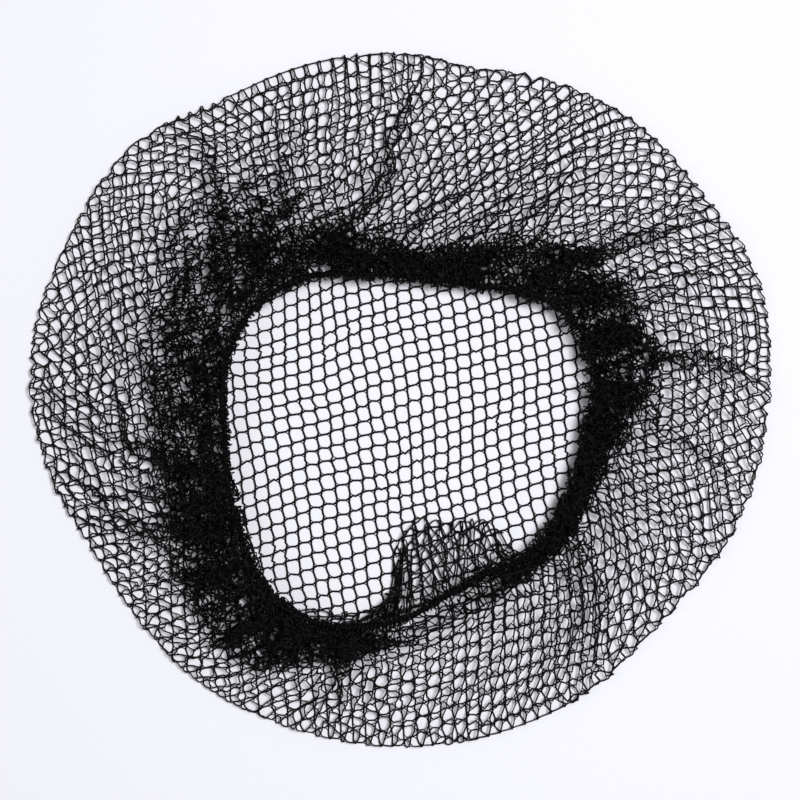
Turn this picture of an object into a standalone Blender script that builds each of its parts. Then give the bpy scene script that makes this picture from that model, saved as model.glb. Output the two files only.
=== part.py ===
"""A honeycomb hairnet lying open on a table: a round net whose edge is gathered by an elastic cord.

The net is one sheet. Its middle, the crown, lies flat on the table. Its outer part turns up and
back at the rim, runs inward over the crown in pleats, and ends in a hem that wraps the cord.
Along one side of the opening the gathered net sags inward below the hem.
"""

from collections import namedtuple
from math import atan2, ceil, cos, hypot, pi, radians, sin, sqrt

import bmesh
import bpy

# Overall sizes, in metres
OVERALL_WIDTH = 0.2956
OVERALL_DEPTH = 0.2776

# Opening inside the elastic cord, and how far its middle lies from the middle of the net
OPENING_WIDTH = 0.146
OPENING_DEPTH = 0.138
OPENING_SHIFT_X = 0.004
OPENING_SHIFT_Y = -0.020

# Heights above the table
EDGE_HEIGHT = 0.0125
PLEAT_HEIGHT = 0.0075
RIM_FOLD_RADIUS = 0.0026

# Sagging fold along one side of the opening
TUCK_REACH = 0.030

# Net wall and elastic cord
NET_WALL = 0.0012
CORD_DIAMETER = 0.0020
CORD_CLEARANCE = 0.0006
HEM_WRAP = radians(215)
HEM_START = radians(150)
HEM_START_TUCKED = radians(268)
FULLY_UNDER = 0.3
HEM_NECK = 0.0028
HEM_STEPS = 5
CORD_SIDES = 6

# Gaps of the coarse honeycomb
GAP_PITCH = 0.0265
GAP_WIDTH = 0.0215
GAP_LEAN = radians(4.5)
RIM_BORDER = 0.0050

SAMPLES_PER_FOLD = 4

# One row for each pleat. rim and opening are shares of the half sizes of the net and of the
# opening in that direction, depth is a share of PLEAT_HEIGHT, height is a share of EDGE_HEIGHT
# and tuck is a share of TUCK_REACH.
Fold = namedtuple("Fold", "angle rim opening depth height tuck")
FOLDS = [
    Fold(angle=2, rim=1.01, opening=0.98, depth=1.00, height=1.00, tuck=0.0),
    Fold(angle=18, rim=1.04, opening=1.06, depth=0.80, height=1.05, tuck=0.0),
    Fold(angle=33, rim=1.02, opening=1.14, depth=1.00, height=1.10, tuck=0.0),
    Fold(angle=48, rim=1.03, opening=1.12, depth=0.90, height=1.05, tuck=0.0),
    Fold(angle=63, rim=1.01, opening=1.02, depth=0.65, height=1.00, tuck=0.0),
    Fold(angle=77, rim=0.98, opening=0.98, depth=0.80, height=0.95, tuck=0.0),
    Fold(angle=91, rim=1.00, opening=0.98, depth=0.70, height=0.95, tuck=0.0),
    Fold(angle=106, rim=1.00, opening=1.03, depth=0.90, height=1.00, tuck=0.0),
    Fold(angle=122, rim=0.99, opening=1.13, depth=1.00, height=1.10, tuck=0.0),
    Fold(angle=138, rim=1.03, opening=1.17, depth=1.00, height=1.15, tuck=0.0),
    Fold(angle=155, rim=1.01, opening=1.12, depth=0.90, height=1.10, tuck=0.0),
    Fold(angle=172, rim=1.01, opening=1.02, depth=1.00, height=1.05, tuck=0.0),
    Fold(angle=188, rim=0.98, opening=1.01, depth=0.85, height=1.00, tuck=0.0),
    Fold(angle=204, rim=0.94, opening=1.03, depth=1.00, height=1.00, tuck=0.0),
    Fold(angle=220, rim=0.95, opening=1.09, depth=0.90, height=1.00, tuck=0.0),
    Fold(angle=236, rim=0.98, opening=1.10, depth=0.80, height=1.05, tuck=0.0),
    Fold(angle=252, rim=0.99, opening=1.03, depth=0.70, height=1.05, tuck=0.25),
    Fold(angle=268, rim=1.00, opening=0.93, depth=0.55, height=1.00, tuck=0.95),
    Fold(angle=284, rim=1.00, opening=0.83, depth=0.50, height=1.00, tuck=1.0),
    Fold(angle=301, rim=0.99, opening=0.79, depth=0.60, height=0.95, tuck=0.45),
    Fold(angle=320, rim=0.96, opening=0.87, depth=0.85, height=0.95, tuck=0.0),
    Fold(angle=341, rim=0.99, opening=0.92, depth=0.95, height=1.00, tuck=0.0),
]

# Rings of the upper layer, from the rim inward. out is a share of the way from the opening to the
# rim, height of EDGE_HEIGHT, pleat of PLEAT_HEIGHT. Where the net is tucked, tuck_in moves a ring
# inward by its share of TUCK_REACH, and tuck_drop lowers it by its share of EDGE_HEIGHT.
Ring = namedtuple("Ring", "out height pleat tuck_in tuck_drop")
UPPER_RINGS = [
    Ring(out=0.74, height=0.46, pleat=0.30, tuck_in=0.00, tuck_drop=0.02),
    Ring(out=0.50, height=0.54, pleat=0.65, tuck_in=0.00, tuck_drop=0.08),
    Ring(out=0.29, height=0.64, pleat=1.00, tuck_in=0.15, tuck_drop=0.20),
    Ring(out=0.17, height=0.72, pleat=1.00, tuck_in=1.15, tuck_drop=0.34),
    Ring(out=0.10, height=0.74, pleat=0.60, tuck_in=1.05, tuck_drop=0.14),
]


def ellipse_radius(half_x, half_y, angle):
    """Distance from the middle of an ellipse to its edge in one direction."""
    return half_x * half_y / hypot(half_y * cos(angle), half_x * sin(angle))


def smooth(before, start, end, after, share):
    """Value on a smooth curve from start to end that also heeds the rows on either side."""
    slope_in = (end - before) / 2
    slope_out = (after - start) / 2
    turn = 3 * (end - start) - 2 * slope_in - slope_out
    bend = 2 * (start - end) + slope_in + slope_out
    return start + slope_in * share + turn * share**2 + bend * share**3


def fold_samples():
    """Rows like those of FOLDS, with SAMPLES_PER_FOLD to a pleat, and how high each is on its pleat."""
    rows = []
    count = len(FOLDS)
    for index in range(count):
        near = [FOLDS[(index + step) % count] for step in (-1, 0, 1, 2)]
        full_turns = [(index + step) // count for step in (-1, 0, 1, 2)]
        angles = [row.angle + 360 * turns for row, turns in zip(near, full_turns)]
        for sample in range(SAMPLES_PER_FOLD):
            share = sample / SAMPLES_PER_FOLD
            values = [smooth(*column, share) for column in zip(*[row[1:] for row in near])]
            row = Fold(smooth(*angles, share), *values)
            rows.append((row._replace(tuck=max(0.0, row.tuck)), (1 + cos(2 * pi * share)) / 2))
    return rows


def stretched_to(points, width, depth):
    """Plan points moved and stretched so that their box is centred and has this width and depth."""
    xs = [x for x, y in points]
    ys = [y for x, y in points]
    middle_x = (min(xs) + max(xs)) / 2
    middle_y = (min(ys) + max(ys)) / 2
    scale_x = width / (max(xs) - min(xs))
    scale_y = depth / (max(ys) - min(ys))
    return [((x - middle_x) * scale_x, (y - middle_y) * scale_y) for x, y in points]


def loop_of(rows, width, depth, share_name):
    """Closed line in plan, one point for each row."""
    points = []
    for row, _ in rows:
        angle = radians(row.angle)
        radius = getattr(row, share_name) * ellipse_radius(width / 2, depth / 2, angle)
        points.append((radius * cos(angle), radius * sin(angle)))
    return stretched_to(points, width, depth)


ROWS = fold_samples()
RIM = loop_of(ROWS, OVERALL_WIDTH, OVERALL_DEPTH, "rim")
CORD_LINE = [
    (x + OPENING_SHIFT_X, y + OPENING_SHIFT_Y)
    for x, y in loop_of(ROWS, OPENING_WIDTH + CORD_DIAMETER, OPENING_DEPTH + CORD_DIAMETER, "opening")
]


def span(index):
    """Plan distance from the cord to the rim beside one row."""
    return hypot(RIM[index][0] - CORD_LINE[index][0], RIM[index][1] - CORD_LINE[index][1])


def along(index, distance):
    """Plan point at this distance from the cord towards the rim, beside one row."""
    cord_x, cord_y = CORD_LINE[index]
    rim_x, rim_y = RIM[index]
    share = distance / span(index)
    return cord_x + (rim_x - cord_x) * share, cord_y + (rim_y - cord_y) * share


def beside_cord(index, out, height):
    """Point at this distance square out from the cord's line, and this far above it."""
    x0, y0 = CORD_LINE[index - 1]
    x1, y1 = CORD_LINE[(index + 1) % len(CORD_LINE)]
    length = hypot(x1 - x0, y1 - y0)
    x, y = CORD_LINE[index]
    level = EDGE_HEIGHT * ROWS[index][0].height
    return x + (y1 - y0) / length * out, y - (x1 - x0) / length * out, level + height


def under(row):
    """How far the net beside a row has gone under the cord, from 0 to 1."""
    return min(1.0, row.tuck / FULLY_UNDER)


def hem(index):
    """Points of the hem's section: a short neck that leads straight into a turn round the cord."""
    radius = CORD_DIAMETER / 2 + CORD_CLEARANCE + NET_WALL
    start = HEM_START + (HEM_START_TUCKED - HEM_START) * under(ROWS[index][0])
    neck_out = -radius * cos(start) + HEM_NECK * sin(start)
    points = [(neck_out, radius * sin(start) + HEM_NECK * cos(start))]
    for step in range(HEM_STEPS + 1):
        angle = start - HEM_WRAP * step / HEM_STEPS
        points.append((-radius * cos(angle), radius * sin(angle)))
    return [beside_cord(index, out, height) for out, height in points]


def section(index):
    """Outer points of the net's section beside one row, from the crown's edge to the end of the hem."""
    row, crest = ROWS[index]
    length = span(index)
    points = []
    for turn in (-90, -45, 0, 45, 90):
        out = length - RIM_FOLD_RADIUS * (1 - cos(radians(turn)))
        points.append((out, RIM_FOLD_RADIUS * (1 + sin(radians(turn)))))
    for ring in UPPER_RINGS:
        out = ring.out * length - ring.tuck_in * row.tuck * TUCK_REACH
        height = (ring.height - ring.tuck_drop * row.tuck) * row.height * EDGE_HEIGHT
        pressed = min(1.0, ring.tuck_in) * under(row)
        pleat = ring.pleat * row.depth * crest * (1 - pressed) * PLEAT_HEIGHT
        points.append((out, height + pleat))
    return [(*along(index, out), height) for out, height in points] + hem(index)


def material(name, color, roughness):
    made = bpy.data.materials.new(name)
    made.use_nodes = True
    shader = made.node_tree.nodes["Principled BSDF"]
    shader.inputs["Base Color"].default_value = (*color, 1.0)
    shader.inputs["Roughness"].default_value = roughness
    shader.inputs["Metallic"].default_value = 0.0
    return made


def object_from(name, mesh_builder, finish=None):
    """An object from a bmesh whose faces already point outward."""
    mesh = bpy.data.meshes.new(name)
    mesh_builder.to_mesh(mesh)
    mesh_builder.free()
    made = bpy.data.objects.new(name, mesh)
    bpy.context.scene.collection.objects.link(made)
    if finish is not None:
        mesh.materials.append(finish)
        mesh.shade_smooth()
    return made


def net_sheet(finish):
    """The whole net as one outer surface: a flat crown, then rings out round the rim to the hem."""
    shape = bmesh.new()
    count = len(ROWS)
    sections = [[shape.verts.new(point) for point in section(index)] for index in range(count)]
    shape.faces.new([points[0] for points in reversed(sections)])
    for index in range(count):
        here = sections[index]
        beside = sections[(index + 1) % count]
        for ring in range(len(here) - 1):
            shape.faces.new((here[ring], beside[ring], beside[ring + 1], here[ring + 1]))
    net = object_from("net", shape, finish)
    wall = net.modifiers.new("Wall", "SOLIDIFY")
    wall.thickness = NET_WALL
    wall.offset = -1.0
    wall.use_even_offset = False
    wall.use_rim = True
    return net


def inside_by(point, loop, margin):
    """Whether a plan point is inside a closed line, and at least margin away from it."""
    x, y = point
    inside = False
    nearest = margin
    for (x0, y0), (x1, y1) in zip(loop, loop[1:] + loop[:1]):
        if (y0 > y) != (y1 > y) and x < x0 + (y - y0) * (x1 - x0) / (y1 - y0):
            inside = not inside
        length_squared = (x1 - x0) ** 2 + (y1 - y0) ** 2
        share = ((x - x0) * (x1 - x0) + (y - y0) * (y1 - y0)) / length_squared
        share = max(0.0, min(1.0, share))
        nearest = min(nearest, hypot(x - x0 - share * (x1 - x0), y - y0 - share * (y1 - y0)))
    return inside and nearest >= margin


def hexagon(centre, turn):
    """Corners of one gap, the first of them in the direction of turn."""
    corner_radius = GAP_WIDTH / sqrt(3)
    angles = [turn + pi / 3 * corner for corner in range(6)]
    return [(centre[0] + corner_radius * cos(a), centre[1] + corner_radius * sin(a)) for a in angles]


def rim_gaps():
    """One row of gaps just inside the rim, evenly spaced, each with a flat side to its neighbours."""
    inset = RIM_BORDER + GAP_WIDTH / 2
    line = [along(index, span(index) - inset) for index in range(len(ROWS))]
    sides = list(zip(line, line[1:] + line[:1]))
    lengths = [hypot(x1 - x0, y1 - y0) for (x0, y0), (x1, y1) in sides]
    count = int(sum(lengths) / GAP_PITCH)
    gaps = []
    for number in range(count):
        left = sum(lengths) * number / count
        for ((x0, y0), (x1, y1)), length in zip(sides, lengths):
            if left < length:
                share = left / length
                centre = (x0 + (x1 - x0) * share, y0 + (y1 - y0) * share)
                gaps.append(hexagon(centre, atan2(y1 - y0, x1 - x0) + pi / 6))
                break
            left -= length
    return gaps


def crown_gaps():
    """Honeycomb of gaps in the crown, inside the rim's row. Three ribs meet at the origin."""
    column_step = GAP_PITCH * sqrt(3) / 2
    reach = ceil(max(OVERALL_WIDTH, OVERALL_DEPTH) / column_step)
    border = RIM_BORDER + GAP_PITCH
    gaps = []
    for column in range(-reach, reach + 1):
        for place in range(-reach, reach + 1):
            x = column * column_step + GAP_PITCH / sqrt(3)
            y = (place + (column % 2) / 2) * GAP_PITCH
            centre = (x * cos(GAP_LEAN) - y * sin(GAP_LEAN), x * sin(GAP_LEAN) + y * cos(GAP_LEAN))
            corners = hexagon(centre, GAP_LEAN)
            if all(inside_by(corner, RIM, border) for corner in corners):
                gaps.append(corners)
    return gaps


def prism(shape, corners, top):
    """An upright closed prism from below the table to this height."""
    low = [shape.verts.new((x, y, -NET_WALL)) for x, y in corners]
    high = [shape.verts.new((x, y, top)) for x, y in corners]
    shape.faces.new(list(reversed(low)))
    shape.faces.new(high)
    for corner in range(len(corners)):
        after = (corner + 1) % len(corners)
        shape.faces.new((low[corner], low[after], high[after], high[corner]))


def gap_cutters():
    """Prisms for all gaps. Those of the rim's row cut both layers, the others the crown alone."""
    shape = bmesh.new()
    through = rim_gaps()
    in_crown = crown_gaps()
    for corners in through:
        prism(shape, corners, 2 * (EDGE_HEIGHT + PLEAT_HEIGHT))
    for corners in in_crown:
        prism(shape, corners, 2 * NET_WALL)
    print("gaps in both layers", len(through), "and in the crown alone", len(in_crown))
    cutters = object_from("gap_cutters", shape)
    cutters.hide_render = True
    cutters.display_type = "WIRE"
    return cutters


def elastic_cord(finish):
    """A closed ring of round cord along the opening, inside the hem."""
    shape = bmesh.new()
    radius = CORD_DIAMETER / 2
    rings = []
    for index in range(len(ROWS)):
        turns = [2 * pi * side / CORD_SIDES for side in range(CORD_SIDES)]
        around = [beside_cord(index, radius * cos(turn), radius * sin(turn)) for turn in turns]
        rings.append([shape.verts.new(point) for point in around])
    for ring, beside in zip(rings, rings[1:] + rings[:1]):
        for side in range(CORD_SIDES):
            after = (side + 1) % CORD_SIDES
            shape.faces.new((ring[side], beside[side], beside[after], ring[after]))
    bmesh.ops.recalc_face_normals(shape, faces=shape.faces)
    return object_from("elastic_cord", shape, finish)


def main():
    for old in list(bpy.data.objects):
        bpy.data.objects.remove(old, do_unlink=True)
    black_nylon = material("black_nylon_net", (0.010, 0.010, 0.012), 0.60)
    black_elastic = material("black_elastic", (0.008, 0.008, 0.009), 0.75)
    net = net_sheet(black_nylon)
    cut = net.modifiers.new("Gaps", "BOOLEAN")
    cut.operation = "DIFFERENCE"
    cut.solver = "EXACT"
    cut.object = gap_cutters()
    elastic_cord(black_elastic)


main()
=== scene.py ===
# %% [markdown]
# # A black hairnet, thread by thread
#
# This lesson rebuilds a disposable honeycomb hairnet that lies open on a table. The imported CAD
# model already holds its main form: a crown that lies flat, a brim that turns back at the rim and
# runs inward in pleats, and a covered elastic that gathers it. A CAD solid can't hold nine thousand
# small gaps, so here the net is made again from its threads, in the space that the solid fills.

# %% Load the frame
import math

import bpy
import numpy as np
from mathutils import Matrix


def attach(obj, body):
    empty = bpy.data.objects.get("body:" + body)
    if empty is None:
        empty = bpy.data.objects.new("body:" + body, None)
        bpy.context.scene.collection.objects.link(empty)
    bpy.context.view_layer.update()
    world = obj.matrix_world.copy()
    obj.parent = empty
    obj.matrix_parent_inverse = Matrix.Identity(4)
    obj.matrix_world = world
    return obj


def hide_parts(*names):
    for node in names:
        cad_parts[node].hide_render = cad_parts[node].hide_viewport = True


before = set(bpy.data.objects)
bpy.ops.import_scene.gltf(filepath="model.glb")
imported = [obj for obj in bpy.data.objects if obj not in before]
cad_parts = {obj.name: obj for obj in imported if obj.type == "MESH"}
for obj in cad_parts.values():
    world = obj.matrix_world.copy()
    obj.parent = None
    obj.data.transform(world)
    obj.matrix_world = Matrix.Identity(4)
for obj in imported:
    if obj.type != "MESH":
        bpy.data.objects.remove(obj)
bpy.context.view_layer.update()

MM = 0.001

# %% [markdown]
# ## Where the rim and the elastic run
#
# The net has to follow the solids. The cord's line could be typed in again as a table, but then the
# two would drift apart. So it is read from the CAD cord's own vertices: for each direction from the
# middle of the opening, nearby vertices are averaged, which gives the middle of the round cord. The
# rim is the furthest vertex of the CAD net in each direction.

# %% Read the rim and the cord from the CAD nodes
DIRECTIONS = np.radians(np.arange(0, 360, 1.0))


def node_points(name):
    """Vertices of one of the CAD's solids, as an array."""
    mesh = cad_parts[name].data
    flat = np.empty(len(mesh.vertices) * 3)
    mesh.vertices.foreach_get("co", flat)
    return flat.reshape(-1, 3)


def turn_between(angles, others):
    """Signed angle from others to angles, between minus half a turn and half a turn."""
    return (angles - others + math.pi) % (2 * math.pi) - math.pi


cord_points = node_points("elastic_cord")
net_points = node_points("net")
opening_middle = (cord_points[:, :2].max(axis=0) + cord_points[:, :2].min(axis=0)) / 2
cord_angle = np.arctan2(*(cord_points[:, :2] - opening_middle).T[::-1])
cord_reach = np.hypot(*(cord_points[:, :2] - opening_middle).T)
net_angle = np.arctan2(net_points[:, 1], net_points[:, 0])
net_reach = np.hypot(net_points[:, 0], net_points[:, 1])
cord_radius_at = np.empty(len(DIRECTIONS))
cord_height_at = np.empty(len(DIRECTIONS))
rim_radius_at = np.empty(len(DIRECTIONS))
for place, direction in enumerate(DIRECTIONS):
    near = np.exp(-((turn_between(cord_angle, direction) / math.radians(3.0)) ** 2))
    cord_radius_at[place] = (near * cord_reach).sum() / near.sum()
    cord_height_at[place] = (near * cord_points[:, 2]).sum() / near.sum()
    beside = np.abs(turn_between(net_angle, direction)) < math.radians(3.0)
    rim_radius_at[place] = net_reach[beside].max()


def at(values, angles):
    """Values given for each whole degree, read at any angle."""
    return np.interp(np.degrees(angles) % 360, np.arange(361), np.append(values, values[0]))


print("opening middle in mm", np.round(opening_middle / MM, 1))
print("rim radius in mm", round(rim_radius_at.min() / MM), "to", round(rim_radius_at.max() / MM))

# %% [markdown]
# ## The flat honeycomb
#
# A hairnet is knitted flat, on a warp knitting machine. Wales, which are zigzag threads, run in
# columns, and short links join each wale to the next, so each gap is a hexagon. The gaps of the
# crown were measured: one step along a course is 5.1 mm across and 1.9 mm up, and one step along a
# wale is 5.7 mm. The net is cut as a circle 60 cm across, the usual 24 inch size, and the grid
# reaches 68 wales to either side of its middle, which is enough to pass the cut.
#
# The whole net is one grid: a row of the grid is a wale, and its even and odd places are the two
# kinds of corner in a honeycomb. A corner in an even place has a link to the next wale. The side
# between the two corners of a pair is short, because there two threads are knitted together. That
# makes the gaps look like leaning squares with round corners, as in the photograph.

# %% Lay out the flat net
COURSE_STEP = np.array([5.12, 1.86]) * MM
WALE_STEP = np.array([0.44, -5.68]) * MM
SHORT_SIDE = 0.92
CUT_RADIUS = 300 * MM
REACH = 68

wale_number = np.arange(-REACH, REACH + 1)[:, None]
corner_number = np.arange(-2 * REACH, 2 * REACH + 2)[None, :]
gap_number = corner_number // 2
is_even = corner_number % 2 == 0
gap_side = (COURSE_STEP + WALE_STEP) / 2
even_corner = gap_side + SHORT_SIDE * (COURSE_STEP - WALE_STEP) / 6
odd_corner = gap_side - SHORT_SIDE * (COURSE_STEP - WALE_STEP) / 6
flat_net = (
    wale_number[..., None] * COURSE_STEP
    + gap_number[..., None] * WALE_STEP
    + np.where(is_even[..., None], even_corner, odd_corner)
)
in_cut = np.hypot(flat_net[..., 0], flat_net[..., 1]) < CUT_RADIUS


def threads_at(kept):
    """How many threads meet at each corner of the grid."""
    count = np.zeros(kept.shape, int)
    count[:, 1:] += kept[:, 1:] & kept[:, :-1]
    count[:, :-1] += kept[:, 1:] & kept[:, :-1]
    link = kept[:-1, :-1] & kept[1:, 1:] & is_even[:, :-1]
    count[:-1, :-1] += link
    count[1:, 1:] += link
    return count * kept


for _ in range(6):
    in_cut &= threads_at(in_cut) >= 2

number = np.full(in_cut.shape, -1)
number[in_cut] = np.arange(in_cut.sum())
flat = flat_net[in_cut]
is_wale_pair = in_cut[:, 1:] & in_cut[:, :-1]
wale_pairs = np.stack([number[:, :-1][is_wale_pair], number[:, 1:][is_wale_pair]], axis=1)
is_link = in_cut[:-1, :-1] & in_cut[1:, 1:] & is_even[:, :-1]
link_pairs = np.stack([number[:-1, :-1][is_link], number[1:, 1:][is_link]], axis=1)
threads = np.concatenate([wale_pairs, link_pairs])
thread_length = np.hypot(*(flat[threads[:, 0]] - flat[threads[:, 1]]).T)
print(len(flat), "corners,", len(threads), "threads, about", int(len(flat) / 2), "gaps")

# %% [markdown]
# ## Folding the flat net
#
# Each corner of the flat net has a direction and a distance from the middle. Up to the rim it keeps
# its place. Past the rim it goes round a small half circle and then back inward. A circle that runs
# inward has less and less room, so the net must gather: in the light outer part it stays nearly
# flat in panels, and the spare net goes into bundles between them, which lean over to one side.
# Close to the elastic, small pleats and crumples take what is left.
#
# A cloth simulation of the whole fold would need hours of contact between threads. So the folds are
# laid by rule from short tables, and a relaxation afterwards gives each thread its true length.
#
# BAND holds lengths in millimetres: dense is the width of the dark gathered band, tuck is how far
# the net sags inward under the elastic, and fringe is how far its crumples stand into the opening.
# ROOM is above 1 where the dense net is spread wider than elsewhere. CREST is the greatest height
# in millimetres, for each share of the way from the rim to the elastic.

# %% Measured band, tuck and fringe
#        degrees dense tuck fringe
BAND = np.array([
    (0, 25, 0, 4.6), (15, 37, 0, 5.2), (30, 34, 0, 3.2), (45, 35, 0, 2.0), (60, 20, 0, 0.6),
    (75, 11, 0, 1.0), (90, 24, 0, 0.4), (105, 34, 0, 0.8), (120, 54, 0, 0.8), (135, 62, 0, 0.2),
    (150, 50, 0, 0.4), (165, 48, 0, 0.0), (180, 41, 0, 0.0), (195, 36, 0, 3.0), (210, 37, 0, 2.0),
    (225, 42, 0, 0.0), (236, 40, 0, 0.6), (240, 37, 6, 1.0), (248, 22, 8, 1.0), (258, 13, 9, 1.2),
    (265, 17, 9, 1.8), (267, 17, 36, 2.6), (275, 17, 35, 3.4), (286, 14, 24.5, 4.2),
    (292, 13, 22, 4.2), (300, 9, 19.5, 4.2), (303, 9, 14, 4.0), (306, 8, 5, 3.6),
    (309, 7, 2, 3.4), (313, 6.5, 0, 3.2), (317, 6.5, 0, 3.0), (330, 6.5, 0, 3.4), (345, 8.5, 0, 5.0),
])  # fmt: skip
#        degrees room
ROOM = np.array([
    (0, 1.0), (15, 0.90), (40, 0.95), (58, 1.15), (75, 1.25), (92, 1.1), (110, 0.95),
    (125, 0.85), (150, 0.90), (240, 0.95), (252, 1.05), (305, 1.0), (320, 1.15), (345, 1.15),
])  # fmt: skip
CREST = np.array([(0.00, 6.5), (0.26, 8.6), (0.50, 12.2), (0.72, 15.8), (0.84, 17.2), (1.00, 17.6)])


def band(column, angles):
    """One column of the band's table, read smoothly at any angle."""
    degrees = np.append(BAND[:, 0], 360)
    values = np.append(BAND[:, column], BAND[0, column])
    return np.interp(np.degrees(angles) % 360, degrees, values) * MM


def soft_step(value):
    """From 0 to 1 with a soft start and end, while the value goes from 0 to 1."""
    value = np.clip(value, 0, 1)
    return value * value * (3 - 2 * value)


print("dense band is", BAND[:, 1].min(), "to", BAND[:, 1].max(), "mm wide")

# %% [markdown]
# The larger folds run from the elastic out to the rim. FOLDS gives the direction of each and its
# strength. Between two folds the net lies in a panel that is hardly gathered, and near a fold it
# crowds together. So each direction in the flat net moves towards its nearest fold, by an amount
# that grows inward. Adding up the shares of room all the way round gives the new directions, for
# 60 amounts of gathering, and a helper then reads that table.
#
# At the lower side the net sags out of the band as a flap whose gaps are nearly full size.
# FLAP_SPAN is how many degrees it reaches to either side of FLAP_FOLD, and FLAP_WIDENS how many
# more it takes where it sags. Its left edge is a sharp fold, so the narrow strip of net beside it,
# FOLD_NET wide, gets hardly any room.

# %% Bundles: how far each direction has moved towards its fold
dice = np.random.default_rng(24)
PANEL_SLACK = 1.05
BUNDLE_PRESS = 0.26
BUNDLE_PART = 0.85
MOST_BUNDLED = 1.34
DENSE_GATHER = 1.9
HEM_GATHER = 3.9
SAG_FROM = 3.2
SAG_OVER = 0.5
FLAP_FOLD = math.radians(266.6)
FLAP_SPAN = np.array([4.5, 36.5])
FLAP_WIDENS = np.array([28, 13])
FOLD_NET = math.radians(2.2)
FOLD_CLOSED = 0.92
SOFT_EDGE = 0.02
FINE = 2880
ROWS = 60
#        degrees strength
FOLDS = np.array([
    (2, 0.9), (17, 0.3), (33, 0.8), (49, 0.7), (60, 0.5), (73, 0.3), (86, 0.9), (98, 0.2),
    (109, 0.8), (119, 0.4), (129, 0.9), (143, 0.3), (155, 0.4), (167, 0.2), (179, 0.5),
    (191, 0.3), (203, 0.8), (216, 0.4), (228, 0.6), (241, 0.5), (254, 0.8), (267, 0.3),
    (306, 0.6), (318, 0.4), (331, 0.3), (346, 0.5),
])  # fmt: skip
BUNDLES = len(FOLDS)

bundle_angle = np.radians(FOLDS[:, 0])
bundle_strength = FOLDS[:, 1]
bundle_lean = dice.choice([-1.0, 1.0], BUNDLES) * dice.uniform(0.5, 1.0, BUNDLES)
fine_angle = np.arange(FINE) / FINE * 2 * np.pi
after = np.searchsorted(bundle_angle, fine_angle) % BUNDLES
gap_before = turn_between(fine_angle, bundle_angle[after - 1]) % (2 * np.pi)
gap_after = turn_between(bundle_angle[after], fine_angle) % (2 * np.pi)
nearest = np.where(gap_before < gap_after, (after - 1) % BUNDLES, after)
from_bundle = 2 * np.minimum(gap_before, gap_after) / (gap_before + gap_after)
deepest = (1 / PANEL_SLACK - BUNDLE_PRESS) * bundle_strength[nearest]
widths = np.linspace(-0.25, 0.9, ROWS)
patterns = np.array([
    1 / PANEL_SLACK - deepest * (1 - soft_step((from_bundle - width) / 0.25)) for width in widths
])  # fmt: skip
gathers = np.linspace(1.0, 4.8, ROWS)
moved = np.empty((ROWS, FINE))
left_over = np.empty((ROWS, FINE))
from_fold = turn_between(fine_angle, FLAP_FOLD)
for row, amount in enumerate(gathers):
    sag = np.clip((amount - SAG_FROM) / SAG_OVER, 0, 1)
    flap_span = np.radians(FLAP_SPAN + FLAP_WIDENS * sag) / amount + sag * FOLD_NET
    flap = soft_step((from_fold + flap_span[0]) / SOFT_EDGE + 0.5)
    flap = flap * soft_step((flap_span[1] - from_fold) / SOFT_EDGE + 0.5)
    in_fold = soft_step((FOLD_NET - np.abs(from_fold)) / (SOFT_EDGE / 2) + 0.5)
    flap *= 1 - FOLD_CLOSED * sag * in_fold
    by_bundles = PANEL_SLACK + (min(amount, MOST_BUNDLED) - 1) * BUNDLE_PART
    place = np.interp(-1 / by_bundles, -patterns.mean(axis=1), np.arange(ROWS))
    moved[row] = fine_angle
    for _ in range(3):
        room = np.interp(np.degrees(moved[row]) % 360, ROOM[:, 0], ROOM[:, 1], period=360)
        roomier = 1 + (room - 1) * soft_step((amount - DENSE_GATHER) / 0.8)
        pattern = patterns[int(round(place))] * roomier
        pleated = (1 / amount - flap.mean()) / ((1 - flap) * pattern).mean()
        shares = flap + (1 - flap) * pleated * pattern
        moved[row] = np.cumsum(shares) / shares.sum() * 2 * np.pi
        fold = int(FLAP_FOLD / (2 * np.pi) * FINE)
        moved[row] -= moved[row, fold] - fine_angle[fold]
    left_over[row] = 1 / (flap + (1 - flap) * min(pleated, 1.0))
print("bundles", BUNDLES, "and pleats take up to", round(left_over.max(), 1), "times their room")


def bundled(angles, gather):
    """Direction in plan, what is left for pleats, and the nearest fold, of net gathered so much."""
    level = np.clip((gather - gathers[0]) / (gathers[1] - gathers[0]), 0, ROWS - 1.001)
    low = level.astype(int)
    part = level - low
    column = (angles % (2 * np.pi)) / (2 * np.pi) * FINE
    left = column.astype(int) % FINE
    right = (left + 1) % FINE
    across = column - column.astype(int)
    wrap = np.where(right == 0, 2 * np.pi, 0)
    shift = 0
    for table_row, weight in ((low, 1 - part), (low + 1, part)):
        value = moved[table_row, left] * (1 - across) + (moved[table_row, right] + wrap) * across
        shift = shift + weight * value
    for_pleats = left_over[low, left] * (1 - part) + left_over[low + 1, left] * part
    return shift, for_pleats, nearest[left]


# %% [markdown]
# A pleat that takes up length is a meander: its slope swings from side to side as a sine does along
# its own length. For each amount of gathering there is one swing that fits, and past twice the
# length the pleats lean over themselves. The helper holds that curve as a small table.

# %% Meander
SWINGS = 44
STEPS = 64

swings = np.linspace(0, 2.15, SWINGS)
phases = np.linspace(0, 1, STEPS + 1)
slopes = swings[:, None] * np.sin(2 * np.pi * phases)[None, :]
meander_x = np.cumsum(np.cos(slopes), axis=1) / STEPS
meander_z = np.cumsum(np.sin(slopes), axis=1) / STEPS
meander_gather = 1 / (meander_x[:, -1] - meander_x[:, 0])
meander_x = meander_x - meander_x[:, :1] - phases / meander_gather[:, None]
meander_z = meander_z - meander_z.mean(axis=1, keepdims=True)


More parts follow.
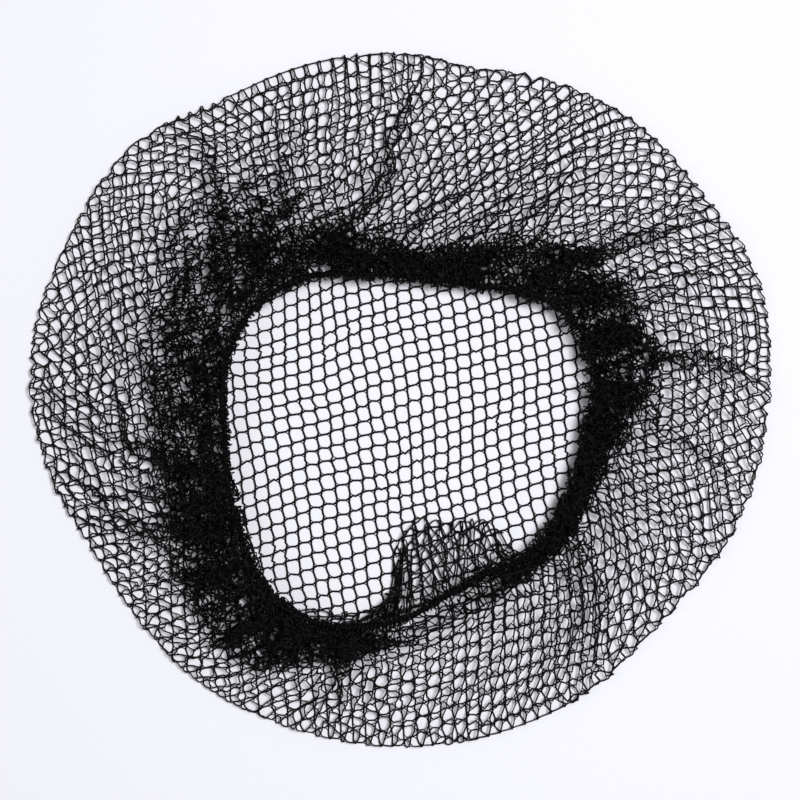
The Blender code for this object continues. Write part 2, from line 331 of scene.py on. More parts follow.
def meander(phase, gather):
    """Sideways and upward shift of a pleat, as shares of its own length, at a phase from 0 to 1."""
    row = np.clip(np.interp(gather, meander_gather, np.arange(SWINGS)), 0, SWINGS - 1.001)
    low, column = row.astype(int), (phase % 1) * STEPS
    left = np.minimum(column.astype(int), STEPS - 1)
    part, across = row - low, column - left
    result = []
    for table in (meander_x, meander_z):
        upper = table[low, left] * (1 - across) + table[low, left + 1] * across
        lower = table[low + 1, left] * (1 - across) + table[low + 1, left + 1] * across
        result.append(upper * (1 - part) + lower * part)
    return result


def ripple(points, wavelength, waves=9):
    """Smooth random values of about 1 in size over the flat net, with this usual wavelength."""
    total = np.zeros(len(points))
    for _ in range(waves):
        heading = dice.uniform(0, 2 * np.pi)
        pace = 2 * np.pi / wavelength / dice.uniform(0.7, 1.5)
        along_wave = points @ np.array([math.cos(heading), math.sin(heading)]) * pace
        total += np.sin(along_wave + dice.uniform(0, 2 * np.pi))
    return total / math.sqrt(waves / 2)


print("meander gathers up to", round(meander_gather.max(), 1), "times")

# %% [markdown]
# Now each corner gets its place along the way. The net past the rim is shared out over three
# stretches: the light brim, which has a few percent of slack and more at the left, the dense band,
# and the flap, where there is one. The band gets denser inward, and a short search by halves finds
# where each share of its net lies. Then the direction is moved towards the nearest fold.

# %% Lay every corner in its fold
THREAD_RADIUS = 0.32 * MM
TURN_RADIUS = 1.6 * MM
FLAP_SLACK = 1.0
BRIM_SLACK = 0.97
LEFT_BRIM_SLACK = 0.13
FINE_PLEATS = 104
RAMP_LENGTH = 0.45


def place_in_band(laid, first_density):
    """Share of the band's width where this share of its net is laid. The net gets denser inward."""
    low, high = np.zeros_like(laid), np.ones_like(laid)
    whole = 1 - RAMP_LENGTH / 2
    for _ in range(24):
        middle = (low + high) / 2
        step = np.clip(middle / RAMP_LENGTH, 0, 1)
        ramped = RAMP_LENGTH * (step**3 - step**4 / 2)
        ramped += np.clip(middle - RAMP_LENGTH, 0, None)
        here = first_density * middle + (1 - first_density) * ramped / whole
        low, high = np.where(here < laid, middle, low), np.where(here < laid, high, middle)
    return (low + high) / 2


angle = np.arctan2(flat[:, 1], flat[:, 0])
distance = np.hypot(flat[:, 0], flat[:, 1])
rim_here = at(rim_radius_at, angle) - TURN_RADIUS - THREAD_RADIUS
past = distance - rim_here
in_crown = past <= 0
beyond = np.clip(past - math.pi * TURN_RADIUS, 0, None)
beyond_all = CUT_RADIUS - rim_here - math.pi * TURN_RADIUS
hem_angle = bundled(angle, np.full(len(flat), HEM_GATHER))[0]
tuck = band(2, hem_angle)
flap_net = 2 * FLAP_SLACK * tuck
before_flap = beyond_all - flap_net

radial = np.stack([np.cos(angle), np.sin(angle)], axis=1)
inner = opening_middle + radial * at(cord_radius_at, angle)[:, None]
outer = radial * rim_here[:, None]
length = np.hypot(*(outer - inner).T)
dense_angle = bundled(angle, np.full(len(flat), DENSE_GATHER))[0]
dense = np.minimum(band(1, dense_angle), 0.8 * length)
from_left = np.abs(turn_between(angle, math.radians(180)))
light_slack = BRIM_SLACK - LEFT_BRIM_SLACK * soft_step(2.2 - from_left / 0.7)
light_net = (length - dense) / light_slack
into_dense = np.clip((beyond - light_net) / (before_flap - light_net), 0, 1)
into_flap = np.clip((beyond - before_flap) / np.maximum(flap_net, MM), 0, 1)
crowding = light_slack * (before_flap - light_net) / dense
packed = place_in_band(into_dense, 1 / np.clip(crowding, 1, None))
inward = np.where(beyond < light_net, beyond * light_slack, length - dense + dense * packed)
share = np.clip(inward / length, 0, 1)

room_here = (1 - share) * rim_here + share * at(cord_radius_at, angle)
gather = np.clip(distance / room_here, 1.0, None)
by_bundle = 1 + (np.minimum(gather, MOST_BUNDLED) - 1) * BUNDLE_PART
plan_angle, into_pleats, bundle = bundled(angle, np.where(past > 0, gather, 1.0))
plan_angle = angle + turn_between(plan_angle, angle)

plan_radial = np.stack([np.cos(plan_angle), np.sin(plan_angle)], axis=1)
plan_inner = opening_middle + plan_radial * at(cord_radius_at, plan_angle)[:, None]
plan_outer = plan_radial * (at(rim_radius_at, plan_angle) - TURN_RADIUS - THREAD_RADIUS)[:, None]
line = plan_inner - plan_outer
line_length = np.hypot(*line.T)[:, None]
inward_way = line / line_length
sideways = np.stack([-inward_way[:, 1], inward_way[:, 0]], axis=1)
print("gathered up to", round(gather.max(), 2), "times round the elastic")

# %% [markdown]
# Along the lower side of the opening the net doesn't stop at the elastic. Its last few centimetres
# pass under it, lie on the crown as a light flap, and come back up to the hem. So a corner there
# first goes on past the cord and then returns, and its height drops and rises again: FLAP_RISE
# gives the height in millimetres for each share of that way. Everywhere else the fine pleats and
# crumples are added, and slow random waves keep the net from being as even as a drawing.

# %% Places before the threads relax
FLAP_RISE = np.array([(0, 4.2), (0.2, 2.4), (0.45, 1.8), (0.6, 3.0), (0.85, 5.5), (1.0, 11.0)])
CRUMPLE_LENGTH = 13 * MM
HIGHEST_FOLD = 9 * MM
PLEAT_SLANT = 70 * MM
LEAN_ASIDE = 0.80
LEAN_UP = 0.42
RISE_POWER = 1.3
RISE_PART = 0.85
DIP_PART = 0.55
SAG_WAY = np.array([0.02, 1.0])
SLOW_WAVE = 75 * MM
QUICK_WAVE = 22 * MM

tucked = soft_step(tuck / (6 * MM))
out_and_back = 1 - np.abs(1 - 2 * into_flap)
overhang = np.clip(band(3, plan_angle) - 1.5 * MM, 0, None)
normal_inward = share * (line_length[:, 0] + overhang * soft_step(share * 5 - 4))
plan_inward = normal_inward + tuck * out_and_back * (into_flap > 0)

cord_height = at(cord_height_at, plan_angle)
rim_top = 2 * TURN_RADIUS
usual_height = rim_top + (cord_height - rim_top) * share**RISE_POWER * RISE_PART
flap_height = np.interp(into_flap, FLAP_RISE[:, 0], FLAP_RISE[:, 1]) * MM
dip = tucked * soft_step(into_dense * 2 - 1) * (into_flap == 0)
height = usual_height * (1 - DIP_PART * dip)
height = np.where(into_flap > 0, usual_height * (1 - tucked) + flap_height * tucked, height)

to_edge = np.abs(turn_between(angle, bundle_angle[bundle]))
half_panel = np.pi / BUNDLES
in_flap = tucked * (into_flap > 0)
spare_share = np.clip(1 - to_edge / half_panel, 0, 1) * (by_bundle - 1) / by_bundle
fold_height = np.minimum(spare_share * distance * half_panel, HIGHEST_FOLD)
fold_height *= bundle_strength[bundle]
lean = bundle_lean[bundle]
uneven = ripple(flat, 90 * MM) * 0.35
pleat_phase = FINE_PLEATS * angle / (2 * np.pi) + uneven + beyond / PLEAT_SLANT * lean
pleat_length = 2 * np.pi * distance / FINE_PLEATS
pleat_x, pleat_z = meander(pleat_phase, into_pleats)
crush = np.clip(crowding * 0.8 * soft_step(into_dense * 4), 1.0, 3.0)
crush_phase = beyond / CRUMPLE_LENGTH + ripple(flat, 34 * MM) * 0.8
crush_x, crush_z = meander(crush_phase, crush * (1 - in_flap) + in_flap)

loft = (1 - 0.9 * in_flap) * soft_step(share * 5)
side_shift = lean * LEAN_ASIDE * fold_height + pleat_x * pleat_length
up_shift = LEAN_UP * fold_height + pleat_z * pleat_length * 0.8 + crush_z * CRUMPLE_LENGTH * 0.8
in_shift = crush_x * CRUMPLE_LENGTH * 0.6
warp = np.stack([ripple(flat, SLOW_WAVE), ripple(flat, SLOW_WAVE)], axis=1) * 0.8 * MM
warp += np.stack([ripple(flat, QUICK_WAVE), ripple(flat, QUICK_WAVE)], axis=1) * 0.20 * MM
jitter = dice.normal(0, 0.09 * MM, flat.shape)

places = np.empty((len(flat), 3))
turn = np.clip(past / TURN_RADIUS, 0, math.pi)
round_rim = radial * (rim_here + TURN_RADIUS * np.sin(turn))[:, None]
places[:, :2] = np.where(in_crown[:, None], flat, round_rim) + warp + jitter
places[:, 2] = THREAD_RADIUS * 1.3 + TURN_RADIUS * (1 - np.cos(turn))
upper = beyond > 0
sagging = soft_step((tuck - 9 * MM) / (6 * MM))[:, None]
sag_way = inward_way * (1 - sagging) + SAG_WAY * sagging
sag_way /= np.linalg.norm(sag_way, axis=1, keepdims=True)
to_cord = np.minimum(plan_inward, line_length[:, 0] + overhang)
plan = plan_outer + inward_way * (to_cord + in_shift * (1 - in_flap))[:, None]
plan = plan + sag_way * (plan_inward - to_cord)[:, None]
plan = plan + sideways * (side_shift * loft)[:, None]
places[upper, :2] = (plan + warp * (1 - share[:, None]))[upper]
places[upper, 2] = (THREAD_RADIUS + height + up_shift * loft)[upper]
places[upper] += dice.normal(0, 0.15 * MM, (upper.sum(), 3))
heights = (places[:, 2].min(), places[:, 2].max())
print("before relaxing, heights in mm are", [round(value / MM, 1) for value in heights])

# %% [markdown]
# ## Relaxing the threads
#
# The rule sets the folds, but it squeezes and stretches single threads. A short simulation puts that
# right, the way a game engine moves cloth: each thread pulls or pushes its two corners until it has
# the length that it was knitted with, and each corner keeps its three threads apart, as a real knot
# does. Corners can't sink into the table, rise past the crest of the folds or leave the outline, and
# the hem stays on the cord. All threads are moved at once with arrays, so it takes seconds.

# %% Corners that keep their threads apart
neighbours = [[] for _ in range(len(flat))]
for first, second in threads:
    neighbours[first].append(second)
    neighbours[second].append(first)
braces = np.array([
    (around[one], around[other])
    for around in neighbours
    for one in range(len(around))
    for other in range(one + 1, len(around))
])  # fmt: skip
brace_length = np.hypot(*(flat[braces[:, 0]] - flat[braces[:, 1]]).T)
print(len(braces), "braces across the corners")

# %% [markdown]
# Three sets of corners are special. Those within 5 mm of the cut wrap the cord at random turns and
# stay there with the flat middle of the crown. Those at the rim are pulled out to the outline, so
# that it stays smooth. All others are drawn gently towards their place by rule, less so with each
# round. Threads resist stretch fully and slack only weakly where the net is crumpled.

# %% Relax
HEM_NET = 5.0 * MM
HEM_WRAP = 1.9 * MM
ROUNDS = 260
RIM_PULL = 3.0 * MM
CROWN_HOLD = 0.10
BRIM_HOLD = 0.012
FLAP_HOLD = 0.16
THREAD_PUSH = 0.62
BRACE_PUSH = 0.35
CORNER_CLOSES = 0.80

design = places.copy()
hem = distance > CUT_RADIUS - HEM_NET
hem_turn = np.pi * (0.15 + 1.15 * dice.random(len(flat)))
hem_out = HEM_WRAP * np.cos(hem_turn)
hem_out = np.where(hem_out < 0, hem_out - band(3, plan_angle) * dice.random(len(flat)), hem_out)
hem_line = opening_middle + plan_radial * (at(cord_radius_at, plan_angle) + hem_out)[:, None]
design[hem, :2] = (hem_line + sideways * (pleat_x * pleat_length * 0.3)[:, None])[hem]
design[hem, 2] = (cord_height + HEM_WRAP * np.sin(hem_turn))[hem]
places[hem] = design[hem]
fixed = hem | (distance < rim_here - 8 * MM)
limit = np.interp(np.clip(plan_inward / line_length[:, 0], 0, 1), CREST[:, 0], CREST[:, 1]) * MM
limit = limit * (1 - 0.6 * in_flap * (into_flap < 0.85))
at_rim = np.abs(past - math.pi / 2 * TURN_RADIUS) < RIM_PULL
brace_push = BRACE_PUSH * (1 - 0.7 * soft_step(share * 1.6))[braces].mean(axis=1)
hold = np.where(upper, BRIM_HOLD + FLAP_HOLD * in_flap, CROWN_HOLD)
slack_push = 1 - 0.88 * soft_step(into_dense * 3) * upper


def pushed(points, pairs, lengths, strength, only_apart):
    """Moves that bring pairs of corners nearer to their true distance, shared by both corners.

    A thread is hard to stretch, but slack costs little: a thread that is too short just curls.
    """
    gap = points[pairs[:, 1]] - points[pairs[:, 0]]
    now = np.linalg.norm(gap, axis=1) + 1e-9
    wrong = (now - lengths) / now * strength
    if only_apart:
        wrong = np.where(now < lengths * CORNER_CLOSES, wrong, 0)
    else:
        wrong = np.where(now < lengths, wrong * slack_push[pairs].mean(axis=1), wrong)
    move = gap * (0.5 * wrong)[:, None]
    total = np.empty_like(points)
    for axis in range(3):
        total[:, axis] = np.bincount(pairs[:, 0], move[:, axis], len(points))
        total[:, axis] -= np.bincount(pairs[:, 1], move[:, axis], len(points))
    return total


for round_number in range(ROUNDS):
    shift = pushed(places, threads, thread_length, THREAD_PUSH, False)
    shift += pushed(places, braces, brace_length, brace_push, True)
    shift[fixed] = 0
    places += shift
    places += (design - places) * (hold * (1 - 0.7 * round_number / ROUNDS))[:, None]
    low = np.where(upper, 3.0 * THREAD_RADIUS, 1.3 * THREAD_RADIUS)
    places[:, 2] = np.clip(places[:, 2], low, limit)
    towards = places[:, :2] - opening_middle
    facing = np.arctan2(towards[:, 1], towards[:, 0])
    reach = np.hypot(*towards.T)
    least = at(cord_radius_at, facing) - band(2, facing) - band(3, facing) - 1.0 * MM
    too_near = upper & (reach < least) & ~hem & (in_flap < 0.05)
    places[too_near, :2] += (towards / reach[:, None] * (least - reach)[:, None])[too_near] * 0.8
    out = np.hypot(places[:, 0], places[:, 1])
    most = at(rim_radius_at, np.arctan2(places[:, 1], places[:, 0])) - THREAD_RADIUS
    too_far = (out > most) | at_rim
    places[too_far, :2] *= (most / out)[too_far, None]

stretched = np.linalg.norm(places[threads[:, 0]] - places[threads[:, 1]], axis=1) / thread_length
print("thread length after relaxing, share", np.round(np.percentile(stretched, [2, 50, 98]), 2))

# %% [markdown]
# ## From lines to threads
#
# Each wale and each course is swept as one tube through all its corners. A Curve object with a
# bevel would do it too, but a mesh from arrays makes tens of thousands of threads in a second, with
# four sides to a thread, closed ends and a UV map that runs along it.

# %% Sweep tubes along lines
THREAD_SIDES = 4


def swept(lines, valid, radii, sides=THREAD_SIDES):
    """Corners, faces, end caps and UVs of tubes. lines is tubes by points by 3, valid the real ones."""
    ahead = np.zeros_like(lines)
    ahead[:, 1:-1] = lines[:, 2:] - lines[:, :-2]
    ahead[:, 0] = lines[:, 1] - lines[:, 0]
    ahead[:, -1] = lines[:, -1] - lines[:, -2]
    ahead /= np.linalg.norm(ahead, axis=2, keepdims=True) + 1e-12
    across = np.broadcast_to(np.array([0.31, 0.22, 0.92]), lines[:, 0].shape)
    frames = np.empty_like(lines)
    for point in range(lines.shape[1]):
        across = across - ahead[:, point] * (across * ahead[:, point]).sum(axis=1)[:, None]
        across /= np.linalg.norm(across, axis=1, keepdims=True) + 1e-12
        frames[:, point] = across
    beside = np.cross(ahead, frames)
    turns = np.arange(sides) / sides * 2 * np.pi
    ring = frames[:, :, None] * np.cos(turns)[:, None] + beside[:, :, None] * np.sin(turns)[:, None]
    corners = lines[:, :, None] + ring * radii[:, :, None, None]
    tubes, points = lines.shape[:2]
    index = np.arange(tubes * points * sides).reshape(tubes, points, sides)
    both = valid[:, 1:] & valid[:, :-1]
    one, two = index[:, :-1][both], index[:, 1:][both]
    nexts = np.roll(np.arange(sides), -1)
    faces = np.stack([one, one[:, nexts], two[:, nexts], two], axis=2).reshape(-1, 4)
    starts = valid & ~np.pad(valid, ((0, 0), (1, 0)))[:, :-1]
    ends = valid & ~np.pad(valid, ((0, 0), (0, 1)))[:, 1:]
    caps = np.concatenate([index[starts][:, ::-1], index[ends]])
    run = np.cumsum(np.linalg.norm(np.diff(lines, axis=1, prepend=lines[:, :1]), axis=2), axis=1)
    along = np.repeat(run[:, :, None], sides, axis=2)
    around = np.broadcast_to(np.arange(sides) / sides, along.shape)
    return corners.reshape(-1, 3), faces, caps, np.stack([along / MM, around], axis=3).reshape(-1, 2)


def thread_mesh(name, parts):
    """One object from several sets of swept tubes, without the places that no face uses."""
    corners = np.concatenate([part[0] for part in parts])
    starts = np.cumsum([0] + [len(part[0]) for part in parts[:-1]])
    rings = [faces + start for part, start in zip(parts, starts) for faces in part[1:3]]
    loops = np.concatenate([faces.ravel() for faces in rings])
    sizes = np.concatenate([np.full(len(faces), faces.shape[1]) for faces in rings])
    uvs = np.concatenate([part[3] for part in parts])
    used = np.zeros(len(corners), bool)
    used[loops] = True
    renumber = np.cumsum(used) - 1
    mesh = bpy.data.meshes.new(name)
    mesh.vertices.add(int(used.sum()))
    mesh.vertices.foreach_set("co", corners[used].astype(np.float32).ravel())
    mesh.loops.add(len(loops))
    mesh.loops.foreach_set("vertex_index", renumber[loops].astype(np.int32))
    mesh.polygons.add(len(sizes))
    mesh.polygons.foreach_set("loop_start", (np.cumsum(sizes) - sizes).astype(np.int32))
    mesh.update(calc_edges=True)
    layer = mesh.uv_layers.new(name="along_thread")
    layer.data.foreach_set("uv", uvs[loops].astype(np.float32).ravel())
    mesh.shade_smooth()
    made = bpy.data.objects.new(name, mesh)
    bpy.context.scene.collection.objects.link(made)
    print(name, "has", int((sizes - 2).sum()), "triangles")
    return made


# %% [markdown]
# Two sets of threads make the net. Wales run down it, and courses run across, rising to the right.
# Where they meet, both follow the short side of the honeycomb and cross over each other, so a
# knot shows as two threads side by side with a tiny slit. The points between two corners are set on
# a smooth curve through four of them, and small loops at both ends of a knot close the sharp
# corners, which rounds the gaps. A slack thread bows out sideways by as much as its length allows.
# In the photograph the crown's yarn looks about a fifth fuller inside the opening than under the
# brim, so FULLER_BY makes it so, as far out as FULL_REACH from the middle of the opening.

# %% Wales and courses of one part of the net
THREAD_MIDDLE = 0.35 * MM
THREAD_AT_KNOT = 0.32 * MM
KNOT_SPREAD = 0.72 * MM
FULLER_BY = 0.22
FULL_REACH = 84 * MM
FULL_EDGE = 12 * MM
BOW_LENGTH = 0.95
BOW_REACH = 0.44
LOOP_REACH = 0.33
LOWEST = 0.43 * MM
LOOP_RADIUS = 0.17 * MM

net_grid = np.zeros(in_cut.shape + (3,))
net_grid[in_cut] = places
pairs_first, pairs_second = net_grid[:, 0::2], net_grid[:, 1::2]
both_there = in_cut[:, 0::2] & in_cut[:, 1::2]
short_side = pairs_first - pairs_second
course_way = np.roll(pairs_second, -1, axis=0) - pairs_first
sheet_up = np.cross(course_way, short_side)
spread = np.cross(sheet_up, short_side)
spread *= KNOT_SPREAD / (np.linalg.norm(spread, axis=2, keepdims=True) + 1e-12)
spread[~both_there] = 0


def bows_of(grid, true_length):
    """Sideways bow that a slack thread needs to keep its true length between its two corners."""
    chord = np.roll(grid, -1, axis=1) - grid
    chord_length = np.linalg.norm(chord, axis=2)
    longest = BOW_LENGTH * true_length
    spare = longest**2 - np.minimum(chord_length, longest) ** 2
    bow = BOW_REACH * np.sqrt(spare) + dice.normal(0, 0.03 * MM, chord_length.shape)
    side = np.cross(chord, np.array([0, 0, 1.0]) + dice.normal(0, 0.45, chord.shape))
    side *= dice.choice([-1.0, 1.0], chord_length.shape)[..., None]
    return side * (bow / (np.linalg.norm(side, axis=2) + 1e-12))[..., None]


def runs_of(grid, inside, chosen, bows, fuller):
    """Tubes along the rows of a grid, wherever a step starts from a chosen corner."""
    before, after_one, after_two = (np.roll(grid, turn, axis=1) for turn in (1, -1, -2))
    has_before, has_after = (np.roll(inside, turn, axis=1)[..., None] for turn in (1, -2))
    before = np.where(has_before, before, 2 * grid - after_one)
    after_two = np.where(has_after, after_two, 2 * after_one - grid)
    lines = np.empty((len(grid), 2 * grid.shape[1], 3))
    lines[:, 0::2] = grid
    lines[:, 1::2] = (9 * (grid + after_one) - before - after_two) / 16 + bows
    lines[..., 2] = np.maximum(lines[..., 2], LOWEST)
    valid = np.zeros(lines.shape[:2], bool)
    step = chosen[:, :-1] & inside[:, :-1] & inside[:, 1:]
    valid[:, 0:-2:2] |= step
    valid[:, 1:-2:2] |= step
    valid[:, 2::2] |= step
    keep = valid.any(axis=1)
    lines, valid = lines[keep], valid[keep]
    first = valid.argmax(axis=1)
    last = valid.shape[1] - 1 - valid[:, ::-1].argmax(axis=1)
    for row in range(len(lines)):
        lines[row, : first[row]] = lines[row, first[row]]
        lines[row, last[row] + 1 :] = lines[row, last[row]]
    radii = np.repeat(fuller[keep], 2, axis=1)
    radii *= np.where(np.arange(lines.shape[1]) % 2 == 0, THREAD_AT_KNOT, THREAD_MIDDLE)
    return swept(lines, valid, radii)


def as_courses(values):
    """The same grid with a row for each course: the second corner of a pair comes first."""
    turned = np.empty((values.shape[1] // 2, values.shape[0] * 2) + values.shape[2:], values.dtype)
    turned[:, 0::2] = np.swapaxes(values[:, 1::2], 0, 1)
    turned[:, 1::2] = np.swapaxes(values[:, 0::2], 0, 1)
    return turned


def knot_loops(chosen):
    """Small loops at both ends of each knot, from the wale over to the course, round the gap."""
    lines = []
    for rows, wale_rows, course_rows, next_wale in (
        (slice(2, None, 2), slice(1, -1, 2), slice(3, None, 2), -1),
        (slice(1, -1, 2), slice(2, None, 2), slice(0, -2, 2), 1),
    ):
        linked = np.roll(in_cut, next_wale, axis=0)[:, course_rows]
        there = chosen[:, rows] & in_cut[:, rows] & in_cut[:, wale_rows] & linked
        knot = net_grid[:, rows][there]
        on_wale = wale_net[:, rows][there]
        on_course = course_net[:, rows][there]
        wale_end = wale_net[:, wale_rows][there]
        course_end = np.roll(course_net, next_wale, axis=0)[:, course_rows][there]
        first = on_wale + (wale_end - on_wale) * LOOP_REACH
        last = on_course + (course_end - on_course) * LOOP_REACH
        lines.append(np.stack([first, knot * 0.7 + (first + last) * 0.15, last], axis=1))
    lines = np.concatenate(lines)
    radii = np.full(lines.shape[:2], LOOP_RADIUS)
    lines[..., 2] = np.maximum(lines[..., 2], LOWEST)
    return swept(lines, np.ones(lines.shape[:2], bool), radii, sides=3)


short_length = SHORT_SIDE * np.linalg.norm(COURSE_STEP - WALE_STEP) / 3
wale_length = np.full(net_grid.shape[:2], np.linalg.norm(WALE_STEP + even_corner - odd_corner))
wale_length[:, 0::2] = short_length
course_shape = as_courses(net_grid).shape[:2]
course_length = np.full(course_shape, np.linalg.norm(COURSE_STEP + odd_corner - even_corner))
course_length[:, 0::2] = short_length
wale_net, course_net = net_grid.copy(), net_grid.copy()
wale_net[:, 0::2] += spread
wale_net[:, 1::2] -= spread
course_net[:, 0::2] -= spread
course_net[:, 1::2] += spread
wale_bows = bows_of(net_grid, wale_length)
course_bows = bows_of(as_courses(net_grid), course_length)
sides = (short_length, wale_length.max(), course_length.max())
print("the sides of a gap in mm are", [round(side / MM, 1) for side in sides])

# %% [markdown]
# The net is one sheet, but as a single mesh it would be heavy to load. So it is built in four
# rings that meet without a seam: a thread that crosses a cut goes on in the next piece from the
# same corner. Only the crown and the brim get the loops at their knots, because in the crumpled
# parts nobody can see them.

# %% Four parts of the net, from the middle outward
BRIM_CUT = 199 * MM
GATHER_CUT = 256 * MM

flat_distance = np.hypot(flat_net[..., 0], flat_net[..., 1])
rim_of_grid = at(rim_radius_at, np.arctan2(flat_net[..., 1], flat_net[..., 0]))
from_opening = np.hypot(*np.moveaxis(flat_net - opening_middle, 2, 0))
fullness = 1 + FULLER_BY * soft_step((FULL_REACH - from_opening) / FULL_EDGE)
parts_of_net = {
    "crown_net": in_cut & (flat_distance < rim_of_grid),
    "brim_net": in_cut & (flat_distance >= rim_of_grid) & (flat_distance < BRIM_CUT),
    "gathered_net": in_cut & (flat_distance >= BRIM_CUT) & (flat_distance < GATHER_CUT),
    "hem_net": in_cut & (flat_distance >= GATHER_CUT),
}
net_pieces = {}
for name, chosen in parts_of_net.items():
    wales = runs_of(wale_net, in_cut, chosen, wale_bows, fullness)
    courses = runs_of(
        *(as_courses(grid) for grid in (course_net, in_cut, chosen)), course_bows, as_courses(fullness)
    )
    light = name in ("crown_net", "brim_net")
    net_pieces[name] = thread_mesh(name, [wales, courses] + [knot_loops(chosen)] * light)

# %% [markdown]
# ## The elastic and its binding
#
# The elastic is a round rubber core in a braided textile cover, about 2 mm thick. The net's edge is
# folded over it and bound with a thread that winds round and round. The elastic is a torus whose
# vertices are moved to the cord's line. The thread is swept like those of the net.

# %% Covered elastic and binding thread
CORD_RADIUS = 1.0 * MM
BINDING_PITCH = 1.7 * MM
BINDING_RADIUS = 1.65 * MM
BINDING_THREAD = 0.27 * MM
POINTS_PER_TURN = 9


def around_opening(angles, out, up):
    """Points beside the cord's line: out is away from the middle of the opening, up is upward."""
    spokes = np.stack([np.cos(angles), np.sin(angles)], axis=1)
    plan_points = opening_middle + spokes * (at(cord_radius_at, angles) + out)[:, None]
    return np.column_stack([plan_points, at(cord_height_at, angles) + up])


ring_angles = np.linspace(0, 2 * np.pi, 721)
cord_line = around_opening(ring_angles, 0, 0)
cord_way = np.concatenate([[0], np.cumsum(np.linalg.norm(np.diff(cord_line, axis=0), axis=1))])
RING = 0.1
bpy.ops.mesh.primitive_torus_add(
    major_segments=720, minor_segments=10, major_radius=RING, minor_radius=CORD_RADIUS, generate_uvs=True
)
elastic = bpy.context.object
elastic.name = "covered_elastic"
for vertex in elastic.data.vertices:
    ring_angle = np.array([math.atan2(vertex.co.y, vertex.co.x)])
    ring_out = math.hypot(vertex.co.x, vertex.co.y) - RING
    vertex.co = around_opening(ring_angle, ring_out, vertex.co.z)[0]
ring_layer = elastic.data.uv_layers[0]
ring_layer.name = "along_thread"
for loop_uv in ring_layer.data:
    loop_uv.uv = (loop_uv.uv[0] * cord_way[-1] / MM, loop_uv.uv[1])
elastic.data.shade_smooth()
turns_of_binding = int(cord_way[-1] / BINDING_PITCH)
binding_angles = np.linspace(0, 2 * np.pi, turns_of_binding * POINTS_PER_TURN + 1)
winding = np.interp(binding_angles, ring_angles, cord_way) / cord_way[-1]
winding = winding * turns_of_binding * 2 * np.pi
wobble = 1 + 0.14 * np.sin(binding_angles * 37 + 2 * np.sin(binding_angles * 5))
binding_line = around_opening(
    binding_angles,
    BINDING_RADIUS * wobble * np.cos(winding),
    BINDING_RADIUS * wobble * np.sin(winding),
)
binding_size = np.full((1, len(binding_line)), BINDING_THREAD)
binding_tube = swept(binding_line[None], np.ones((1, len(binding_line)), bool), binding_size)
binding = thread_mesh("hem_binding", [binding_tube])
print("elastic is", round(cord_way[-1] / MM), "mm round, with", turns_of_binding, "turns of thread")

# %% [markdown]
# ## Materials
#
# Two helpers do all the work: one turns a screen colour into the linear one that Blender expects,
# and one adds a node with its settings and links.

# %% Helpers for materials


def from_hex(code):
    """Linear colour of an sRGB hex value."""
    channels = [int(code[place : place + 2], 16) / 255 for place in (1, 3, 5)]
    return [c / 12.92 if c <= 0.04045 else ((c + 0.055) / 1.055) ** 2.4 for c in channels] + [1.0]


def new_material(name):
    """A material and its surface shader."""
    material = bpy.data.materials.new(name)
    material.use_nodes = True
    return material, material.node_tree.nodes["Principled BSDF"]


def add_node(material, kind, settings=None, inputs=None, links=None):
    """One node: settings are its properties, inputs its values, and links its incoming sockets."""
    node = material.node_tree.nodes.new(kind)
    for key, value in (settings or {}).items():
        setattr(node, key, value)
    for key, value in (inputs or {}).items():
        node.inputs[key].default_value = value
    for key, socket in (links or {}).items():
        material.node_tree.links.new(socket, node.inputs[key])
    return node


def ramp(material, factor, stops):
    """A colour ramp from a list of places and hex colours."""
    node = add_node(material, "ShaderNodeValToRGB", links={"Fac": factor})
    for place, (position, code) in enumerate(stops):
        elements = node.color_ramp.elements
        element = elements[place] if place < 2 else elements.new(position)
        element.position = position
        element.color = from_hex(code)
    return node


# %% [markdown]
# The net is textured nylon yarn, dyed black in the mass. It has no shine of its own, and a painted
# highlight lifts its colour from black to charcoal on the bulges of the twist.
# The yarn is twisted about once a millimetre. The UV map's first number is millimetres along the
# thread, so a wave over both numbers runs round it like the twist.

# %% Textured nylon yarn
yarn, yarn_shader = new_material("textured_nylon_yarn")
yarn_uv = add_node(yarn, "ShaderNodeUVMap", {"uv_map": "along_thread"})
yarn_place = add_node(yarn, "ShaderNodeTexCoord")
twist = add_node(
    yarn,
    "ShaderNodeTexWave",
    {"wave_type": "BANDS", "bands_direction": "DIAGONAL"},
    {"Scale": 0.9, "Distortion": 1.2, "Detail": 2.0},
    {"Vector": yarn_uv.outputs["UV"]},
)
dye = add_node(
    yarn,
    "ShaderNodeTexNoise",
    inputs={"Scale": 60.0, "Detail": 3.0},
    links={"Vector": yarn_place.outputs["Object"]},
)
yarn_colour = ramp(yarn, dye.outputs["Fac"], [(0.30, "#010101"), (0.72, "#040405")])
# Painted highlight: the twist's bands screen a little charcoal into the black base colour.
painted_twist_highlight = add_node(
    yarn,
    "ShaderNodeMix",
    {"data_type": "RGBA", "blend_type": "SCREEN"},
    {"B": from_hex("#030304")},
    {"A": yarn_colour.outputs["Color"], "Factor": twist.outputs["Fac"]},
)
yarn_bump = add_node(
    yarn,
    "ShaderNodeBump",
    inputs={"Strength": 0.35, "Distance": 0.05 * MM},
    links={"Height": twist.outputs["Fac"]},
)
yarn.node_tree.links.new(painted_twist_highlight.outputs["Result"], yarn_shader.inputs["Base Color"])
yarn.node_tree.links.new(yarn_bump.outputs["Normal"], yarn_shader.inputs["Normal"])
yarn_shader.inputs["Roughness"].default_value = 0.50
yarn_shader.inputs["IOR"].default_value = 1.53
yarn_shader.inputs["Specular IOR Level"].default_value = 0.12
print(yarn.name, "has", len(yarn.node_tree.nodes), "nodes")

# %% [markdown]
# The elastic's cover is spun polyester, braided with a carrier every millimetre. It is rougher than
# the net and has fluff, so its sheen is wider and its bump is deeper.

